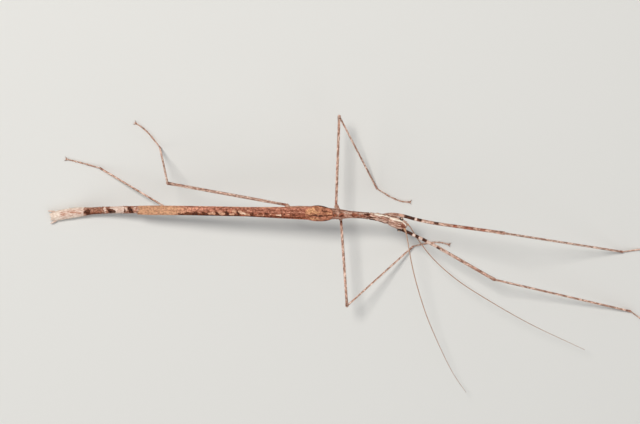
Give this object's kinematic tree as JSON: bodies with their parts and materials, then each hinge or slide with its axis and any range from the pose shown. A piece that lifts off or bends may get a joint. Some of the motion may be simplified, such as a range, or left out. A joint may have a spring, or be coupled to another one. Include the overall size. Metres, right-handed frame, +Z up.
{
  "type": "winged stick insect",
  "caption": "Slender brown winged stick insect standing with its legs spread, its front legs and feelers reaching forward and its pale tail resting on the ground.",
  "frame": {"origin": "on the ground, under the middle of the bounding box of the insect with its legs and feelers spread", "axes": "+X from the tail to the head, +Y to the insect's left, +Z up; the feet and the tail's tip stand on z = 0"},
  "size_m": [0.142, 0.065, 0.0195],
  "materials": {
    "body": "dry, finely wrinkled brown skin with dark and cream markings",
    "wing": "parchment-like folded wing, satin, mottled and veined",
    "wing_cover": "leathery orange-tan wing cover with dark veins",
    "eye": "glossy compound eye, dark ring and pale centre",
    "antenna": "thin matte brown feeler with fine rings",
    "cercus": "pale pinkish, softly matte"
  },
  "bodies": {
    "root": {"abdomen_10": "body", "abdomen_9": "body", "abdomen_8": "body", "abdomen_7": "body", "abdomen_6": "body", "abdomen_5": "body", "abdomen_4": "body", "abdomen_3": "body", "abdomen_2": "body", "metathorax": "body", "mesothorax": "body", "prothorax": "body", "cercus_left": "cercus", "cercus_right": "cercus", "tegmen_left": "wing_cover", "wing_left": "wing", "tegmen_right": "wing_cover", "wing_right": "wing", "head": "body", "eye_left": "eye", "eye_right": "eye", "antenna_left_base": "antenna", "antenna_left_mid": "antenna", "antenna_left_tip": "antenna", "antenna_right_base": "antenna", "antenna_right_mid": "antenna", "antenna_right_tip": "antenna", "front_leg_left_coxa": "body", "front_leg_left_femur": "body", "front_leg_left_tibia": "body", "front_leg_left_tarsus": "body", "front_leg_right_coxa": "body", "front_leg_right_femur": "body", "front_leg_right_tibia": "body", "front_leg_right_tarsus": "body", "mid_leg_left_coxa": "body", "mid_leg_left_femur": "body", "mid_leg_left_tibia": "body", "mid_leg_left_tarsus": "body", "mid_leg_right_coxa": "body", "mid_leg_right_femur": "body", "mid_leg_right_tibia": "body", "mid_leg_right_tarsus": "body", "hind_leg_left_coxa": "body", "hind_leg_left_femur": "body", "hind_leg_left_tibia": "body", "hind_leg_left_tarsus": "body", "hind_leg_right_coxa": "body", "hind_leg_right_femur": "body", "hind_leg_right_tibia": "body", "hind_leg_right_tarsus": "body"}
  },
  "joints": []
}
